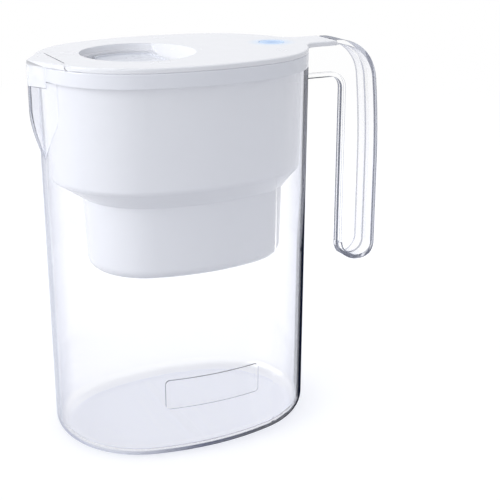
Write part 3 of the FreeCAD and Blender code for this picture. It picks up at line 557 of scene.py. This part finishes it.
def lit_plastic(name, core, rim, strength, radius_mm):
    """Translucent plastic lit from below, from its core's colour to its rim's."""
    material, tree, out = new_material(name)
    where = add_node(tree, "ShaderNodeTexCoord")
    share = add_node(tree, "ShaderNodeMapRange", None, {
        "Value": from_indicator(tree, where), "From Min": 0.0, "From Max": radius_mm * MM})
    ramp = add_node(tree, "ShaderNodeValToRGB", None, {"Fac": share.outputs[0]})
    colour = set_stops(ramp, [(0.0, core), (1.0, rim)])
    cloud = add_node(tree, "ShaderNodeTexNoise", None,
                     {"Vector": where.outputs["Object"], "Scale": 1 / CLOUD_LENGTH, "Detail": 1.0})
    bump = add_node(tree, "ShaderNodeBump", None,
                    {"Height": cloud.outputs[0], "Strength": 0.1, "Distance": 0.01 * MM})
    shader = add_node(tree, "ShaderNodeBsdfPrincipled", None, {
        "Base Color": colour, "Roughness": 0.3, "IOR": ACRYLIC_IOR,
        "Emission Color": colour, "Emission Strength": strength, "Normal": bump.outputs["Normal"]})
    tree.links.new(shader.outputs[0], out.inputs["Surface"])
    return material


button_acrylic = lit_plastic("lit_opal_acrylic", "#7FAADC", "#B8D2F0", strength=0.14, radius_mm=9.0)
led_epoxy = lit_plastic("LED_epoxy", "#9CCBFF", "#DCEBFF", strength=1.5, radius_mm=12.0)
dress(["indicator_button"], button_acrylic)
dress(["indicator_leds"], led_epoxy)

# %% [markdown]
# The cartridge is satin polypropylene (index 1.49), a little greyer and softer in gloss than the ABS,
# with a silicone band (index 1.41) under its rim. Both are moulded, so the same function makes them with
# a rougher finish.

# %% Cartridge shell and seals
PP_IOR = 1.49
SILICONE_IOR = 1.41

cartridge_pp = white_plastic("satin_white_PP", "#E9EAED",
                             roughness=0.38, grain_mm=0.6, grain_depth_mm=0.02, ior=PP_IOR)
silicone = white_plastic("grey_white_silicone", "#D9DCE1",
                         roughness=0.6, grain_mm=0.3, grain_depth_mm=0.02, ior=SILICONE_IOR)
dress(["cartridge_shell", "cartridge_cap"], cartridge_pp)
dress(["cartridge_seal", "battery_cover_seal"], silicone)

# %% [markdown]
# Inside the cartridge lie two screens of needled polyester felt. The fibres are finer than the render
# can show, so they are drawn about 0.4 mm apart. Noise with many fine levels stands in for crossed
# fibres. Modelled hair would look no better at this size.


# %% Felt screens
def felt(name, colour, thread_mm):
    """Needled polyester felt: short crossed fibres, no gloss."""
    material, tree, out = new_material(name)
    where = add_node(tree, "ShaderNodeTexCoord")
    fibres = add_node(tree, "ShaderNodeTexNoise", None, {
        "Vector": where.outputs["Object"], "Scale": 1 / (thread_mm * MM), "Detail": 6.0, "Roughness": 0.8})
    ramp = add_node(tree, "ShaderNodeValToRGB", None, {"Fac": fibres.outputs[0]})
    ramp.color_ramp.elements[0].color = darker(linear(colour), 0.7)
    ramp.color_ramp.elements[1].color = linear(colour)
    bump = add_node(tree, "ShaderNodeBump", None,
                    {"Height": fibres.outputs[0], "Strength": 0.8, "Distance": 0.2 * MM})
    shader = add_node(tree, "ShaderNodeBsdfPrincipled", None, {
        "Base Color": ramp.outputs["Color"], "Roughness": 0.95, "Sheen Weight": 0.3,
        "Normal": bump.outputs["Normal"]})
    tree.links.new(shader.outputs[0], out.inputs["Surface"])
    return material


dress(["upper_screen", "lower_screen"], felt("polyester_felt", "#E4E2DC", thread_mm=0.4))

# %% [markdown]
# Between the screens lies the filter medium, black carbon grains about 0.9 mm wide mixed with tan resin
# beads. Thousands of small solids would be the true form. A Voronoi pattern gives each cell its own
# shade and a rounded height, and that is enough for a bed that is only seen when the cartridge is open.


# %% Filter medium
def granules(name, dark, light, grain_mm):
    """Grains of two shades: cells of a Voronoi pattern, most of them dark."""
    material, tree, out = new_material(name)
    where = add_node(tree, "ShaderNodeTexCoord")
    cells = add_node(tree, "ShaderNodeTexVoronoi", None,
                     {"Vector": where.outputs["Object"], "Scale": 1 / (grain_mm * MM)})
    ramp = add_node(tree, "ShaderNodeValToRGB", None, {"Fac": cells.outputs["Color"]})
    colour = set_stops(ramp, [(0.55, dark), (1.0, light)])
    bump = add_node(tree, "ShaderNodeBump", None,
                    {"Height": cells.outputs["Distance"], "Strength": 0.9, "Distance": 0.4 * MM})
    shader = add_node(tree, "ShaderNodeBsdfPrincipled", None,
                      {"Base Color": colour, "Roughness": 0.8, "Normal": bump.outputs["Normal"]})
    tree.links.new(shader.outputs[0], out.inputs["Surface"])
    return material


dress(["filter_medium"], granules("carbon_and_resin", "#1B1B1D", "#8A7A5C", grain_mm=0.9))

# %% [markdown]
# The small pieces inside the lid are nickel-plated steel, a green board and a black switch. The steel is
# a metal with fine brushing, noise stretched ten times along X, which changes its roughness and so draws
# out the highlight. The board's solder mask and the switch's nylon take the function of the filter medium,
# with a finer grain and two close shades.

# %% Metal, board and switch
BRUSH_STRETCH = (0.1, 1.0, 1.0)


def plated_steel(name, colour, roughness, brush_mm):
    """Plated and brushed metal, rougher and smoother along fine lines."""
    material, tree, out = new_material(name)
    where = add_node(tree, "ShaderNodeTexCoord")
    stretched = add_node(tree, "ShaderNodeMapping", None,
                         {"Vector": where.outputs["Object"], "Scale": BRUSH_STRETCH})
    lines = add_node(tree, "ShaderNodeTexNoise", None,
                     {"Vector": stretched.outputs[0], "Scale": 1 / (brush_mm * MM), "Detail": 2.0})
    rough = add_node(tree, "ShaderNodeMapRange", None, {
        "Value": lines.outputs[0], "To Min": roughness * 0.7, "To Max": roughness * 1.4})
    shader = add_node(tree, "ShaderNodeBsdfPrincipled", None, {
        "Base Color": linear(colour), "Metallic": 1.0, "Roughness": rough.outputs[0]})
    tree.links.new(shader.outputs[0], out.inputs["Surface"])
    return material


dress(["fill_flap_pin", "button_spring", "indicator_screws", "coin_cell", "cell_contacts"],
      plated_steel("nickel_plated_steel", "#C9C8C4", roughness=0.25, brush_mm=0.2))
dress(["circuit_board"], granules("green_solder_mask", "#12402A", "#1C5A3B", grain_mm=0.7))
dress(["reset_switch"], granules("black_nylon", "#161616", "#242424", grain_mm=0.3))
